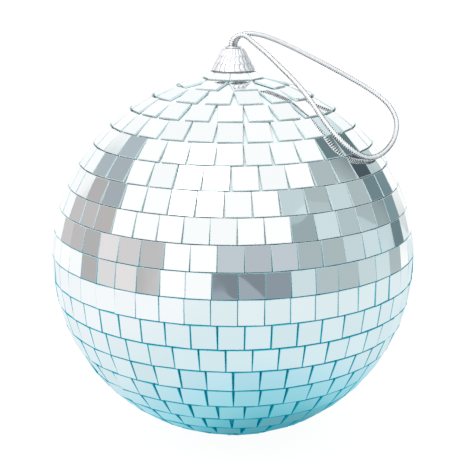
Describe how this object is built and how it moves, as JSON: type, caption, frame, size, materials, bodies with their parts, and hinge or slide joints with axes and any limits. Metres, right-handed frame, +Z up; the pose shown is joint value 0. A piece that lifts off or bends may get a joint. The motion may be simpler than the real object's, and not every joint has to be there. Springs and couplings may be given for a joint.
{
  "type": "mirror ball",
  "caption": "Ball covered in rows of small flat mirror tiles, with a fluted silver cap on top and a loop of metallic cord to hang it by.",
  "frame": {"origin": "middle of the cord hole in the cap, at the top of its eyelet, where the ball hangs from its cord", "axes": "+Z up along the hanging axis, -Y towards the viewer, +X towards the side that the cord lies on"},
  "size_m": [0.1526, 0.1526, 0.1702],
  "materials": {
    "mirror_glass": "silvered flat glass tiles with pale green-blue cut edges",
    "core_plastic": "moulded pale grey plastic",
    "cap_silver": "bright silver, fluted",
    "fitting_steel": "plain plated steel",
    "washer_nylon": "natural white nylon",
    "cord_lurex": "braided silver metallic thread"
  },
  "bodies": {
    "hanger": {"hanging_cord": "cord_lurex", "cord_knot": "cord_lurex", "thrust_washer": "washer_nylon"},
    "ball": {"core_upper": "core_plastic", "core_lower": "core_plastic", "tile_row_equator": "mirror_glass", "tile_row_north_01": "mirror_glass", "tile_row_north_02": "mirror_glass", "tile_row_north_03": "mirror_glass", "tile_row_north_04": "mirror_glass", "tile_row_north_05": "mirror_glass", "tile_row_north_06": "mirror_glass", "tile_row_north_07": "mirror_glass", "tile_row_north_08": "mirror_glass", "tile_row_north_09": "mirror_glass", "tile_row_north_10": "mirror_glass", "tile_row_south_01": "mirror_glass", "tile_row_south_02": "mirror_glass", "tile_row_south_03": "mirror_glass", "tile_row_south_04": "mirror_glass", "tile_row_south_05": "mirror_glass", "tile_row_south_06": "mirror_glass", "tile_row_south_07": "mirror_glass", "tile_row_south_08": "mirror_glass", "tile_row_south_09": "mirror_glass", "tile_row_south_10": "mirror_glass", "tile_row_crown": "mirror_glass", "bottom_disc": "mirror_glass", "cap_shell": "cap_silver", "cap_eyelet": "fitting_steel", "cap_plug": "core_plastic", "push_nut": "fitting_steel"}
  },
  "joints": [
    {"name": "ball_spin", "type": "hinge", "parent": "hanger", "child": "ball", "pos_m": [0, 0, 0], "axis": [0, 0, 1], "continuous": true}
  ]
}
